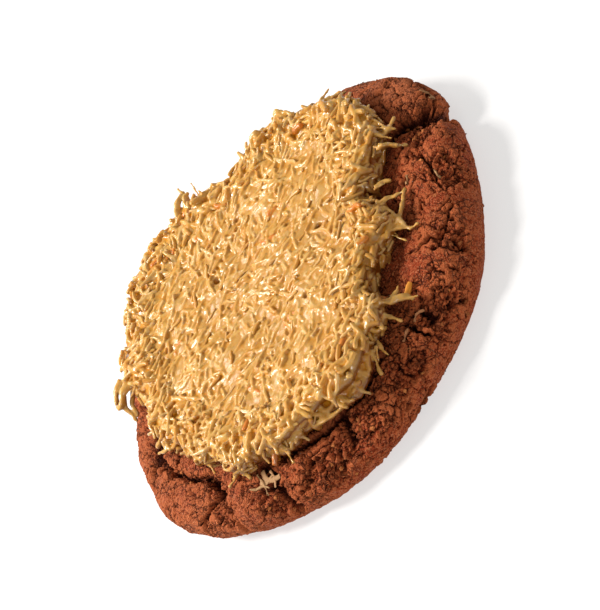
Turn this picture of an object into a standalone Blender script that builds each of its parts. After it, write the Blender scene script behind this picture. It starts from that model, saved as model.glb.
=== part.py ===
# A chocolate cookie under a thick pistachio spread that is bound with shreds of pastry.
# Metres, +Z up. The origin is the middle of the cookie's flat base, and -Y is the near side.
#
# A place on the cookie's crust is an angle, counted from +X towards +Y, and a reach along its
# profile: 0 in the middle of the top, 1 on the rim's crest, 2 on the widest line, 3 at the foot
# and 4 in the middle of the base.

import math
import random

import bmesh
import bpy
import numpy as np
from mathutils import Vector, noise

MM = 0.001

# The baked cookie.
COOKIE_RADII = (  # mm, every 15 degrees
    50.8, 50.4, 50.0, 49.2, 48.6, 48.4, 48.3, 48.5, 48.8, 48.8, 48.8, 49.8,
    50.8, 50.4, 49.3, 49.0, 49.4, 49.2, 48.6, 48.8, 48.5, 47.2, 47.2, 48.4,
)
RIM_WIDTH = 11 * MM  # from the rim's crest out to the widest line
FOOT_TUCK = 3.2 * MM  # how far the foot lies inside the widest line
WIDEST_HEIGHT = 6 * MM
CREST_HEIGHT = 12.4 * MM
MIDDLE_HEIGHT = 10.4 * MM
DISH_POWER = 4  # the top is a shallow dish that turns up near its rim
SHOULDER_LENGTH = 14 * MM  # along the crust, from the crest to the widest line
WALL_LENGTH = 7.2 * MM  # along the crust, from the widest line to the foot
COOKIE_AROUND, COOKIE_RINGS = 300, 96  # modelled this finely, then thinned
COOKIE_PROFILE = ((0, 0.08, 0.86, 0.93, 1), (0, 0.74, 3, 3.3, 4))  # share of the rings, and reach there
COOKIE_KEPT = 0.09  # share of the triangles that is kept

# Relief of the crust, which starts under the spread.
RELIEF_FROM, RELIEF_FULL = 0.78, 0.95  # reach
CRUST_BUMPS = 0.7 * MM
CRUST_BUMP_SIZE = 7 * MM
CRACK_WANDER = 0.9 * MM
CRACK_WANDER_SIZE = 3.5 * MM
CRACK_FLOOR = 0.25  # share of a crack's width that is its floor
PILLOW_DROP = 1.0 * MM  # how far each lobe rounds down towards a crack of full depth
PILLOW_WIDTH = 2.6 * MM
FULL_DEPTH = 3.5  # mm

# Each crack: half its width and its depth in mm, then its path as (angle in degrees, reach).
CRACKS = (
    (1.5, 3.0, ((159, 1.05), (163, 1.35), (165, 1.60), (168, 1.80))),
    (0.9, 2.2, ((165, 1.32), (173, 1.26), (180, 1.20), (188, 1.16), (196, 1.10))),
    (1.1, 3.2, ((196, 1.05), (201, 1.33), (203, 1.50), (206, 1.80), (208, 2.2), (208, 2.9))),
    (0.6, 1.3, ((202, 1.52), (197, 1.62), (193, 1.85), (192, 2.1))),
    (1.7, 3.4, ((222, 1.10), (224, 1.40), (223, 1.75), (222, 2.1), (221, 2.5), (221, 2.95))),
    (0.9, 1.7, ((244, 1.60), (243, 1.85), (241, 1.98))),
    (1.2, 2.6, ((252, 1.25), (249.5, 1.50), (248, 1.70))),
    (1.6, 1.4, ((263, 2.85), (268, 2.85))),
    (0.7, 1.4, ((270, 1.35), (269.5, 1.60), (269, 1.78))),
    (1.0, 1.9, ((278, 1.35), (278.5, 1.60), (278.5, 1.82))),
    (0.9, 2.8, ((284, 1.10), (283.5, 1.45), (283.5, 1.78), (287, 2.05), (288.5, 2.4), (289, 2.9))),
    (0.6, 1.3, ((293, 1.02), (299, 1.03), (303, 1.18), (304.5, 1.40), (303.5, 1.68), (300, 1.86))),
    (0.8, 1.7, ((309.5, 1.20), (308, 1.42), (308, 1.60), (306, 1.78))),
    (0.9, 2.3, ((340, 1.18), (335, 1.36), (330.5, 1.42), (327, 1.40), (323, 1.50))),
    (2.4, 5.0, ((352, 0.95), (349, 1.15), (346, 1.42), (344, 1.70), (345.5, 2.0), (350, 2.35), (354, 2.8))),
    (1.5, 2.6, ((351, 1.60), (357, 1.70), (364, 1.80))),
    (0.6, 1.3, ((379, 1.20), (379, 1.45), (376, 1.75))),
)
BACK_CRACK_ANGLES = (34, 58, 81, 104, 126, 143)  # the far rim breaks up like the near one
BACK_CRACK_REACH = (1.1, 1.4, 1.75, 2.1, 2.6)

# The spread.
SPREAD_RADII = (  # mm, every 15 degrees
    38.5, 41.8, 41.5, 40.5, 37.4, 38.8, 42.5, 44.5, 43.6, 42.6, 41.4, 40.2,
    38.0, 37.6, 38.8, 40.5, 41.8, 42.6, 41.2, 37.0, 31.0, 32.0, 30.5, 31.5,
)
SPREAD_TOP = 17.2 * MM
SPREAD_SWELL = 1.2 * MM  # the spatula left the edge higher than the middle by about this
SWELL_RADIUS = 40 * MM
SPREAD_WAVES = 0.9 * MM
SPREAD_WAVE_SIZE = 11 * MM
SPREAD_EDGE = 3.4 * MM  # width of the rounded edge
SPREAD_TUCK = 1.3 * MM  # how far the edge turns in under its belly
BELLY_SHARE = 0.45  # how far up its side the spread bulges most
REST_GAP = 0.3 * MM
SPREAD_AROUND, SPREAD_RINGS = 60, 20
SPREAD_PROFILE = ((0, 0.40, 0.70, 0.9, 1), (0, 1, 2, 2.35, 3))  # share of the rings, and turn there

# The pastry shreds that show on the spread. Lengths in mm.
SHRED_RADIUS = 0.62 * MM
SHRED_CLEARANCE = 0.5 * MM
FLOW_ANGLE = math.radians(19)  # the way the spatula laid them
FLOW_SCATTER = 0.6
LYING_SHREDS = 84
LYING_LENGTH = (4.4, 9.2)
LYING_INSET = 2.5 * MM
LYING_SINK = 0.35 * MM
EDGE_SHREDS = 40
EDGE_LENGTH = (3.4, 5.2)
EDGE_HEIGHT = (13.2, 17.2)
EDGE_ROOT = 2.6 * MM  # how deep in the core each shred starts
# Each tuft: its angle in degrees, its reach beyond the spread's outline in mm, its height in mm
# and how many shreds stand out in it.
TUFTS = (
    (15, 2.6, 14.6, 3), (53, 2.8, 17.6, 4), (83, 2.6, 18.4, 3), (97, 1.6, 17.6, 2), (142, 3.6, 14.8, 4),
    (165, 3.2, 13.8, 2), (209, 6.0, 13.6, 3), (222, 4.6, 13.4, 2), (264, 4.2, 13.0, 3), (281, 4.6, 13.4, 3),
    (288, 6.0, 13.2, 2), (310, 3.0, 13.2, 3), (322, 3.6, 13.4, 2), (343, 4.6, 13.4, 3),
)
TUFT_ROOT = 3.2 * MM


def ring_value(values, angle):
    """The value at an angle in radians, on a smooth closed curve through evenly spaced values."""
    place = np.mod(np.asarray(angle, float) / (2 * math.pi), 1.0) * len(values)
    first = np.floor(place).astype(int)
    share = place - first
    before, start, end, after = (np.take(values, first + step, mode="wrap") for step in (-1, 0, 1, 2))
    slope_in = (end - before) / 2
    slope_out = (after - start) / 2
    bend = 2 * (start - end) + slope_in + slope_out
    return start + share * (slope_in + share * (3 * (end - start) - 2 * slope_in - slope_out + share * bend))


def smooth_step(value, low, high):
    share = np.clip((value - low) / (high - low), 0, 1)
    return share * share * (3 - 2 * share)


def noise_at(points, size, seed):
    """Smooth noise from -1 to 1 at each point, with bumps about this size."""
    shift = Vector((seed * 17.3, seed * 5.1, seed * 9.7))
    return np.array([noise.noise(Vector(point) / size + shift) for point in points])


def cookie_radius(angle):
    return ring_value(COOKIE_RADII, angle) * MM


def dish_height(share):
    """Height of the top, at a share of the way from its middle to the crest."""
    return MIDDLE_HEIGHT + (CREST_HEIGHT - MIDDLE_HEIGHT) * np.clip(share, 0, 1) ** DISH_POWER


def smooth_crust(angle, reach):
    """Radius and height of the uncracked crust, which no bump rises above."""
    widest = cookie_radius(angle)
    crest = widest - RIM_WIDTH
    shoulder = np.clip(reach - 1, 0, 1) * math.pi / 2
    wall = np.clip(reach - 2, 0, 1)
    outside = np.where(reach <= 2, crest + RIM_WIDTH * np.sin(shoulder), widest - FOOT_TUCK * wall**2)
    below = WIDEST_HEIGHT + (CREST_HEIGHT - WIDEST_HEIGHT) * np.cos(shoulder) - WIDEST_HEIGHT * wall
    return np.where(reach <= 1, crest * reach, outside), np.where(reach <= 1, dish_height(reach), below)


def crust_height(angle, radius):
    """Height of the uncracked crust at a radius in plan, from the middle out to the widest line."""
    crest = cookie_radius(angle) - RIM_WIDTH
    across = np.clip((radius - crest) / RIM_WIDTH, 0, 1)
    outside = WIDEST_HEIGHT + (CREST_HEIGHT - WIDEST_HEIGHT) * np.sqrt(1 - across**2)
    return np.where(radius <= crest, dish_height(radius / crest), outside)


def crust_length(angle, reach):
    """Distance along the crust's profile, from the middle of the top."""
    top = (cookie_radius(angle) - RIM_WIDTH) * np.clip(reach, 0, 1)
    return top + SHOULDER_LENGTH * np.clip(reach - 1, 0, 1) + WALL_LENGTH * np.clip(reach - 2, 0, 1)


def all_cracks():
    """The cracks that show, and those of the far rim, which run out over the shoulder by a rule."""
    draw = random.Random(7)
    cracks = list(CRACKS)
    for angle in BACK_CRACK_ANGLES:
        path = [(angle + draw.uniform(-2.5, 2.5), reach) for reach in BACK_CRACK_REACH]
        cracks.append((draw.uniform(0.8, 1.3), draw.uniform(1.8, 3.0), path))
    return cracks


def distance_to_path(path, angle, along, plan_radius):
    """Distance over the crust to a path given as (angle, distance along the profile)."""
    nearest = np.full(len(angle), math.inf)
    for (angle_a, along_a), (angle_b, along_b) in zip(path, path[1:]):
        turn = np.mod(angle - angle_a + math.pi, 2 * math.pi) - math.pi
        side, up = turn * plan_radius, along - along_a
        run_side, run_up = (angle_b - angle_a) * plan_radius, along_b - along_a
        share = np.clip((side * run_side + up * run_up) / (run_side**2 + run_up**2), 0, 1)
        nearest = np.minimum(nearest, np.hypot(side - share * run_side, up - share * run_up))
    return nearest


def crack_relief(angle, reach, points):
    """How deep the cracks, and the rounding of the lobes towards them, lie under the smooth crust."""
    wander_side = noise_at(points, CRACK_WANDER_SIZE, 1) * CRACK_WANDER
    wander_up = noise_at(points, CRACK_WANDER_SIZE, 2) * CRACK_WANDER
    plan_radius = np.maximum(np.hypot(points[:, 0], points[:, 1]), RIM_WIDTH)
    wandered = angle + wander_side / plan_radius
    along = crust_length(angle, reach) + wander_up
    crack = np.zeros(len(angle))
    pillow = np.zeros(len(angle))
    for half_width, depth, places in all_cracks():
        path = [(math.radians(a), float(crust_length(math.radians(a), r))) for a, r in places]
        distance = distance_to_path(path, wandered, along, plan_radius) / MM
        wall = smooth_step(distance, CRACK_FLOOR * half_width, half_width)
        crack = np.maximum(crack, depth * MM * (1 - wall))
        fall = np.exp(-np.maximum(distance - half_width, 0) * MM / PILLOW_WIDTH)
        pillow = np.maximum(pillow, PILLOW_DROP * min(depth / FULL_DEPTH, 1) * fall)
    return crack + pillow


def cookie_points(angle, reach):
    """Points of the cracked cookie. Over the shoulder the relief is cut along the crust's normal."""
    on_crust = np.minimum(reach, 3.0)
    radius, height = smooth_crust(angle, on_crust)
    smooth = np.stack([radius * np.cos(angle), radius * np.sin(angle), height], axis=1)
    bumps = CRUST_BUMPS * (0.5 + 0.5 * noise_at(smooth, CRUST_BUMP_SIZE, 3))
    relief = (crack_relief(angle, on_crust, smooth) + bumps) * smooth_step(on_crust, RELIEF_FROM, RELIEF_FULL)
    lean = np.clip(reach - 1, 0, 1) * math.pi / 2
    radius = (radius - relief * np.sin(lean)) * np.clip(4 - reach, 0, 1)
    height = np.where(reach >= 3, 0.0, np.maximum(height - relief * np.cos(lean), 0.0))
    return np.stack([radius * np.cos(angle), radius * np.sin(angle), height], axis=1)


def spread_radius(angle):
    return ring_value(SPREAD_RADII, angle) * MM


def spread_height(x, y):
    """Height of the spread's top: waves, higher towards the edge than in the middle."""
    points = np.stack([x, y, np.zeros_like(x)], axis=1)
    swell = SPREAD_SWELL * (np.hypot(x, y) / SWELL_RADIUS) ** 3
    return SPREAD_TOP + swell + SPREAD_WAVES * noise_at(points, SPREAD_WAVE_SIZE, 4)


def spread_points(angle, turn):
    """Points of the spread's core. turn is 0 to 1 over the top, 1 to 2 round the edge, 2 to 3 under it."""
    outline = spread_radius(angle)
    shoulder, foot = outline - SPREAD_EDGE, outline - SPREAD_TUCK
    round_edge = np.clip(turn - 1, 0, 1) * math.pi
    upper = round_edge <= math.pi / 2
    bulge = np.sin(round_edge)
    edge = np.where(upper, shoulder + SPREAD_EDGE * bulge, foot + SPREAD_TUCK * bulge)
    radius = np.where(turn < 1, shoulder * turn, np.where(turn > 2, foot * (3 - turn), edge))
    x, y = radius * np.cos(angle), radius * np.sin(angle)
    top = spread_height(x, y)
    bottom = crust_height(angle, radius) + REST_GAP
    belly = bottom + BELLY_SHARE * (top - bottom)
    height = belly + np.where(upper, top - belly, belly - bottom) * np.cos(round_edge)
    return np.stack([x, y, np.where(turn > 2, bottom, height)], axis=1)


def plain_material(name, colour, roughness):
    material = bpy.data.materials.new(name)
    material.use_nodes = True
    shader = material.node_tree.nodes["Principled BSDF"]
    shader.inputs["Base Color"].default_value = (*colour, 1)
    shader.inputs["Roughness"].default_value = roughness
    shader.inputs["Metallic"].default_value = 0
    return material


def pressed_ball(name, around, rings, profile, shape, collection, material):
    """A ball whose points are moved to shape(angle, place), with each ring's place from the profile."""
    form = bmesh.new()
    bmesh.ops.create_uvsphere(form, u_segments=around, v_segments=rings, radius=1)
    ball = np.array([vertex.co for vertex in form.verts])
    angle = np.where(np.hypot(ball[:, 0], ball[:, 1]) < 1e-6, 0, np.arctan2(ball[:, 1], ball[:, 0]))
    place = np.interp(np.arccos(np.clip(ball[:, 2], -1, 1)) / math.pi, *profile)
    for vertex, point in zip(form.verts, shape(angle, place)):
        vertex.co = point
    mesh = bpy.data.meshes.new(name)
    form.to_mesh(mesh)
    form.free()
    mesh.materials.append(material)
    piece = bpy.data.objects.new(name, mesh)
    collection.objects.link(piece)
    return piece


def apply_modifiers(piece):
    graph = bpy.context.evaluated_depsgraph_get()
    made = bpy.data.meshes.new_from_object(piece.evaluated_get(graph))
    piece.modifiers.clear()
    piece.data = made


def make_cookie(collection, material):
    """The baked body: modelled finely, then thinned so that triangles stay where the cracks are."""
    cookie = pressed_ball(
        "cookie", COOKIE_AROUND, COOKIE_RINGS, COOKIE_PROFILE, cookie_points, collection, material
    )
    thin = cookie.modifiers.new("thin", "DECIMATE")
    thin.ratio = COOKIE_KEPT
    apply_modifiers(cookie)
    for vertex in cookie.data.vertices:
        if vertex.co.z < 0.05 * MM:
            vertex.co.z = 0
    cookie.data.shade_smooth()
    cookie.data.set_sharp_from_angle(angle=math.radians(50))
    return cookie


def clear_of_cookie(point):
    """The point, lifted where a shred there would touch the crust."""
    angle, radius = math.atan2(point.y, point.x), math.hypot(point.x, point.y)
    if radius < cookie_radius(angle) + MM:
        floor = float(crust_height(angle, radius)) + SHRED_RADIUS + SHRED_CLEARANCE
        point.z = max(point.z, floor)
    return point


def add_shred(points, collection):
    """One shred of pastry: a bent four-sided rod with closed ends."""
    curve = bpy.data.curves.new("shred", "CURVE")
    curve.dimensions = "3D"
    curve.bevel_depth = SHRED_RADIUS
    curve.bevel_resolution = 0
    curve.use_fill_caps = True
    line = curve.splines.new("POLY")
    line.points.add(len(points) - 1)
    for knot, point in zip(line.points, points):
        knot.co = (*clear_of_cookie(point), 1)
    guide = bpy.data.objects.new("shred_line", curve)
    bpy.context.scene.collection.objects.link(guide)
    mesh = bpy.data.meshes.new_from_object(guide.evaluated_get(bpy.context.evaluated_depsgraph_get()))
    bpy.data.objects.remove(guide)
    form = bmesh.new()
    form.from_mesh(mesh)
    bmesh.ops.remove_doubles(form, verts=form.verts, dist=0.01 * MM)
    bmesh.ops.recalc_face_normals(form, faces=form.faces)
    form.to_mesh(mesh)
    form.free()
    collection.objects.link(bpy.data.objects.new("shred", mesh))


def add_lying_shreds(collection, draw):
    """Shreds laid over the top, evenly, on a sunflower's spiral."""
    golden_angle = math.pi * (3 - math.sqrt(5))
    for index in range(LYING_SHREDS):
        angle = index * golden_angle
        radius = math.sqrt((index + 0.5) / LYING_SHREDS) * (float(spread_radius(angle)) - LYING_INSET)
        middle = Vector((radius * math.cos(angle), radius * math.sin(angle), 0))
        heading = FLOW_ANGLE + draw.gauss(0, FLOW_SCATTER)
        half = Vector((math.cos(heading), math.sin(heading), 0)) * draw.uniform(*LYING_LENGTH) / 2 * MM
        bow = Vector((-half.y, half.x, 0)) * draw.uniform(-0.3, 0.3)
        points = [middle - half, middle + bow, middle + half]
        rises = [draw.uniform(-1, 1) * LYING_SINK, LYING_SINK, draw.uniform(-1, 1) * LYING_SINK]
        for point, rise in zip(points, rises):
            point.z = spread_height(np.array([point.x]), np.array([point.y]))[0] + rise
        add_shred(points, collection)


def add_edge_shreds(collection, draw):
    """Shreds that stand out of the spread's edge all round."""
    for index in range(EDGE_SHREDS):
        angle = 2 * math.pi * (index + draw.uniform(-0.3, 0.3)) / EDGE_SHREDS
        start = Vector((math.cos(angle), math.sin(angle), 0)) * (float(spread_radius(angle)) - EDGE_ROOT)
        start.z = draw.uniform(*EDGE_HEIGHT) * MM
        heading = angle + draw.uniform(-0.9, 0.9)
        way = Vector((math.cos(heading), math.sin(heading), draw.uniform(-0.35, 0.4)))
        run = way * draw.uniform(*EDGE_LENGTH) * MM
        sag = Vector((0, 0, draw.uniform(-0.7, 0.3) * MM))
        add_shred([start, start + run * 0.55, start + run + sag], collection)


def add_tufts(collection, draw):
    """The tufts of shreds that reach furthest out over the rim."""
    for angle_degrees, reach, height, count in TUFTS:
        for _ in range(count):
            angle = math.radians(angle_degrees + draw.uniform(-4, 4))
            start = Vector((math.cos(angle), math.sin(angle), 0)) * (float(spread_radius(angle)) - TUFT_ROOT)
            start.z = (height + draw.uniform(-0.6, 1.6)) * MM
            heading = angle + draw.uniform(-0.5, 0.5)
            way = Vector((math.cos(heading), math.sin(heading), draw.uniform(-0.2, 0.3)))
            run = way * (TUFT_ROOT + reach * draw.uniform(0.55, 1.0) * MM)
            bend = Vector((0, 0, draw.uniform(-0.5, 0.8) * MM))
            add_shred([start, start + run * 0.5 + bend, start + run], collection)


def drop_scraps(piece):
    """Keep only the largest of the closed skins that the union left."""
    form = bmesh.new()
    form.from_mesh(piece.data)
    waiting = set(form.verts)
    skins = []
    while waiting:
        skin = set()
        front = [waiting.pop()]
        while front:
            vertex = front.pop()
            skin.add(vertex)
            neighbours = {edge.other_vert(vertex) for edge in vertex.link_edges} & waiting
            waiting -= neighbours
            front.extend(neighbours)
        skins.append(skin)
    skins.sort(key=len, reverse=True)
    for skin in skins[1:]:
        bmesh.ops.delete(form, geom=list(skin), context="VERTS")
    form.to_mesh(piece.data)
    form.free()


def make_spread(collection, material):
    """The spread's core with its shreds fused on by one union."""
    spread = pressed_ball(
        "spread", SPREAD_AROUND, SPREAD_RINGS, SPREAD_PROFILE, spread_points, collection, material
    )
    shreds = bpy.data.collections.new("shreds")
    bpy.context.scene.collection.children.link(shreds)
    draw = random.Random(11)
    add_lying_shreds(shreds, draw)
    add_edge_shreds(shreds, draw)
    add_tufts(shreds, draw)
    fuse = spread.modifiers.new("fuse", "BOOLEAN")
    fuse.operation = "UNION"
    fuse.operand_type = "COLLECTION"
    fuse.collection = shreds
    apply_modifiers(spread)
    for piece in list(shreds.objects):
        bpy.data.objects.remove(piece)
    bpy.data.collections.remove(shreds)
    drop_scraps(spread)
    spread.data.shade_smooth()
    spread.data.set_sharp_from_angle(angle=math.radians(40))
    return spread


def main():
    for piece in list(bpy.data.objects):
        bpy.data.objects.remove(piece)
    collection = bpy.data.collections.new("chocolate_cookie")
    bpy.context.scene.collection.children.link(collection)
    make_cookie(collection, plain_material("baked cocoa dough", (0.13, 0.040, 0.020), 0.85))
    make_spread(collection, plain_material("pistachio spread", (0.56, 0.33, 0.11), 0.35))


main()
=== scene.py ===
import itertools
import math

import bmesh
import bpy
import numpy as np
from mathutils import Matrix, Vector, noise
from mathutils.bvhtree import BVHTree


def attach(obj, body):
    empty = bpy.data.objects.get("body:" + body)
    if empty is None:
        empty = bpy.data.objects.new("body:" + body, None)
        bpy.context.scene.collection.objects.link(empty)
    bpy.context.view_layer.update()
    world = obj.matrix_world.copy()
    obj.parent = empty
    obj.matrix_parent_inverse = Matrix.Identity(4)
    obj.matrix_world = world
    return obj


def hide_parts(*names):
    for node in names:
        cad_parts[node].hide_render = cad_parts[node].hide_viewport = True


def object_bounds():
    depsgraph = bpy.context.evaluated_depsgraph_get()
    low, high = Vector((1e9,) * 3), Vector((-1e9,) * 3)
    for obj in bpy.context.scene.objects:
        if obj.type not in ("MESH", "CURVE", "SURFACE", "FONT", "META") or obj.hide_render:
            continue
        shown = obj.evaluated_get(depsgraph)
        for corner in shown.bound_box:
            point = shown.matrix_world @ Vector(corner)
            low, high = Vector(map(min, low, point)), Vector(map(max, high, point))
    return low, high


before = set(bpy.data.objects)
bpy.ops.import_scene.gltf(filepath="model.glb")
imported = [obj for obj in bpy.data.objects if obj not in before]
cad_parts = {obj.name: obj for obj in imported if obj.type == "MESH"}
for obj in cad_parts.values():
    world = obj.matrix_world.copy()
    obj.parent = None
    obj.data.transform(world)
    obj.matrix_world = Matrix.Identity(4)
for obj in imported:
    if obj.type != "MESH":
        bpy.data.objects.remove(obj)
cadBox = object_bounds()
mm = 0.001


def addNode(tree, kind, inputs=(), **settings):
    made = tree.nodes.new(kind)
    for name, value in settings.items():
        setattr(made, name, value)
    for key, value in dict(inputs).items():
        if isinstance(value, bpy.types.NodeSocket):
            tree.links.new(value, made.inputs[key])
        else:
            made.inputs[key].default_value = value
    return made


def calc(tree, operation, first, second=0.0):
    return addNode(tree, "ShaderNodeMath", {0: first, 1: second}, operation=operation).outputs[0]


def times(tree, first, second):
    return calc(tree, "MULTIPLY", first, second)


def plus(tree, first, second):
    return calc(tree, "ADD", first, second)


def vectorCalc(tree, operation, first, second):
    key = "Scale" if operation == "SCALE" else 1
    return addNode(tree, "ShaderNodeVectorMath", {0: first, key: second}, operation=operation).outputs[0]


def noiseAt(tree, where, scale, detail, roughness=0.5):
    inputs = {"Vector": where, "Scale": scale, "Detail": detail, "Roughness": roughness}
    return addNode(tree, "ShaderNodeTexNoise", inputs)


def smoothStep(value, low, high):
    share = np.clip((value - low) / (high - low), 0, 1)
    return share * share * (3 - 2 * share)


def hashed(cells, seed, count):
    # a few random numbers from 0 to 1 for each whole-numbered cell
    mixed = (cells * np.array((73856093, 19349663, 83492791))).sum(1) + seed * 2654435761
    numbers = []
    for turn in range(count):
        mixed = (mixed ^ (mixed >> 15)) * 2246822519 & 0xFFFFFFFF
        mixed = (mixed ^ (mixed >> 13)) * 3266489917 & 0xFFFFFFFF
        mixed = mixed ^ (mixed >> 16)
        numbers.append((mixed & 0xFFFFFF) / 0xFFFFFF)
    return np.stack(numbers, axis=1)


def softNoise(points, size, seed):
    # gradient noise, about -1 to 1, with bumps about this size
    place = points / size
    cell = np.floor(place).astype(np.int64)
    part = place - cell
    fade = part**3 * (part * (part * 6 - 15) + 10)
    total = np.zeros(len(points))
    for corner in itertools.product((0, 1), repeat=3):
        slope = hashed(cell + corner, seed, 3) * 2 - 1
        weight = np.prod(np.where(np.array(corner) == 1, fade, 1 - fade), axis=1)
        total += weight * ((part - corner) * slope).sum(1)
    return total * 1.6


def cellNoise(points, size, seed):
    # distances to the nearest and the second nearest seed point, and a random number of the nearest
    place = points / size
    cell = np.floor(place).astype(np.int64)
    first = np.full(len(points), 9.0)
    second = np.full(len(points), 9.0)
    pick = np.zeros(len(points))
    for corner in itertools.product((-1, 0, 1), repeat=3):
        drawn = hashed(cell + corner, seed, 4)
        gap = np.sqrt(((cell + corner + drawn[:, :3] - place) ** 2).sum(1))
        nearer = gap < first
        second = np.where(nearer, first, np.minimum(second, gap))
        pick = np.where(nearer, drawn[:, 3], pick)
        first = np.where(nearer, gap, first)
    return first * size, second * size, pick


def ringValue(values, angle):
    # smooth closed curve through values that are evenly spaced round the circle
    place = np.mod(np.asarray(angle, float) / (2 * math.pi), 1.0) * len(values)
    first = np.floor(place).astype(int)
    share = place - first
    before, start, end, after = (np.take(values, first + step, mode="wrap") for step in (-1, 0, 1, 2))
    slopeIn, slopeOut = (end - before) / 2, (after - start) / 2
    bend = 2 * (start - end) + slopeIn + slopeOut
    return start + share * (slopeIn + share * (3 * (end - start) - 2 * slopeIn - slopeOut + share * bend))


def turnFrom(angle, degrees):
    # how far an angle lies from a direction, either way round, in degrees
    return (np.degrees(angle) - degrees + 180) % 360 - 180


def newMaterial(name, values):
    material = bpy.data.materials.new(name)
    material.use_nodes = True
    tree = material.node_tree
    shader = tree.nodes["Principled BSDF"]
    for key, value in values.items():
        shader.inputs[key].default_value = value
    return material, tree, shader


def coloured(tree, shader, colour, grit=None, strength=1.0, distance=0.0):
    # the shader takes a colour and, where there is a height, fine relief from it
    tree.links.new(colour, shader.inputs["Base Color"])
    if grit is not None:
        bump = addNode(tree, "ShaderNodeBump", {"Height": grit, "Strength": strength, "Distance": distance})
        tree.links.new(bump.outputs[0], shader.inputs["Normal"])


def mixColours(tree, share, first, second, blend="MIX"):
    tones = [tone if isinstance(tone, bpy.types.NodeSocket) else (*tone, 1) for tone in (first, second)]
    inputs = {0: share, 6: tones[0], 7: tones[1]}
    return addNode(tree, "ShaderNodeMix", inputs, data_type="RGBA", blend_type=blend).outputs[2]


def ramped(tree, value, low, high):
    made = addNode(tree, "ShaderNodeMapRange", {"Value": value, "From Min": low, "From Max": high})
    made.interpolation_type = "SMOOTHSTEP"
    return made.outputs[0]


def stored(tree, name):
    return addNode(tree, "ShaderNodeAttribute", attribute_name=name).outputs["Fac"]


def linked(name, data):
    piece = bpy.data.objects.new(name, data)
    bpy.context.scene.collection.objects.link(piece)
    return piece


def applied(piece):
    graph = bpy.context.evaluated_depsgraph_get()
    made = bpy.data.meshes.new_from_object(piece.evaluated_get(graph))
    piece.modifiers.clear()
    old, piece.data = piece.data, made
    bpy.data.meshes.remove(old)
    return piece


def thinned(piece, triangles):
    piece.data.calc_loop_triangles()
    share = triangles / len(piece.data.loop_triangles)
    if share < 1:
        thin = piece.modifiers.new("thin", "DECIMATE")
        thin.ratio = share
        applied(piece)
        piece.data.validate()  # drops the few faces that thinning doubles
    return piece


def meshFrom(name, form):
    mesh = bpy.data.meshes.new(name)
    form.to_mesh(mesh)
    form.free()
    return mesh


def joined(name, pieces):
    form = bmesh.new()
    for piece in pieces:
        form.from_mesh(piece.data)
    mesh = meshFrom(name, form)
    for piece in pieces:
        bpy.data.objects.remove(piece)
    return linked(name, mesh)


def pointsOf(mesh):
    points = np.empty(len(mesh.vertices) * 3, dtype=np.float32)
    mesh.vertices.foreach_get("co", points)
    return points.reshape(-1, 3).astype(float)


def normalsOf(mesh):
    normals = np.empty(len(mesh.vertices) * 3, dtype=np.float32)
    mesh.vertices.foreach_get("normal", normals)
    return normals.reshape(-1, 3)


def movePoints(mesh, points):
    mesh.vertices.foreach_set("co", points.astype(np.float32).ravel())
    mesh.update()


def storeValues(mesh, name, values):
    layer = mesh.attributes.get(name) or mesh.attributes.new(name, "FLOAT", "POINT")
    layer.data.foreach_set("value", np.asarray(values, dtype=np.float32))


def markHollows(mesh, rounds):
    # how far each point lies under the softened surface round it, in mm
    points = pointsOf(mesh)
    count = len(points)
    ends = np.empty(len(mesh.edges) * 2, dtype=np.int32)
    mesh.edges.foreach_get("vertices", ends)
    first, second = ends[0::2], ends[1::2]
    joins = np.maximum(np.bincount(ends, minlength=count), 1)
    soft = points.copy()
    for turn in range(rounds):
        for axis in range(3):
            pulled = np.bincount(first, soft[second, axis], count)
            pulled += np.bincount(second, soft[first, axis], count)
            soft[:, axis] += 0.5 * (pulled / joins - soft[:, axis])
    storeValues(mesh, "hollow", ((soft - points) * normalsOf(mesh)).sum(1) / mm)


def gridMesh(name, rings, closedTop, closedBottom):
    # a closed skin from rings of points that all have the same count
    rows, count = rings.shape[:2]
    verts = [tuple(closedTop)] + [tuple(p) for p in rings.reshape(-1, 3)] + [tuple(closedBottom)]
    ids = 1 + np.arange(rows * count).reshape(rows, count)
    over = np.roll(ids, -1, axis=1)
    quads = np.stack([ids[:-1], ids[1:], over[1:], over[:-1]], axis=-1).reshape(-1, 4)
    top = np.stack([np.zeros(count, int), ids[0], over[0]], axis=-1)
    bottom = np.stack([np.full(count, len(verts) - 1), over[-1], ids[-1]], axis=-1)
    mesh = bpy.data.meshes.new(name)
    mesh.from_pydata(verts, [], quads.tolist() + top.tolist() + bottom.tolist())
    return mesh


cookie = {
    "radii": (  # mm, every 15 degrees
        50.8, 50.4, 50.0, 49.2, 48.6, 48.4, 48.3, 48.5, 48.8, 48.8, 48.8, 49.8,
        50.8, 50.4, 49.3, 49.0, 49.4, 49.2, 48.6, 48.8, 48.5, 47.2, 47.2, 48.4,
    ),
    "rimWidth": 11 * mm,
    "footTuck": 3.2 * mm,
    "widestHeight": 6 * mm,
    "crestHeight": 12.4 * mm,
    "middleHeight": 10.4 * mm,
    "dishPower": 4,
    "shoulderLength": 14 * mm,
    "wallLength": 7.2 * mm,
    "spacing": 0.23 * mm,  # of the finely modelled points, before thinning
    "meanRadius": 48 * mm,  # with the next, only for the spacing of the points
    "meanCrest": 37.5 * mm,
    "hollowRounds": 10,  # of softening, to tell hollows from ridges
    "triangles": 196000,
}


def cookieRadius(angle):
    return ringValue(cookie["radii"], angle) * mm


def dishHeight(share):
    rise = cookie["crestHeight"] - cookie["middleHeight"]
    return cookie["middleHeight"] + rise * np.clip(share, 0, 1) ** cookie["dishPower"]


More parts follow.
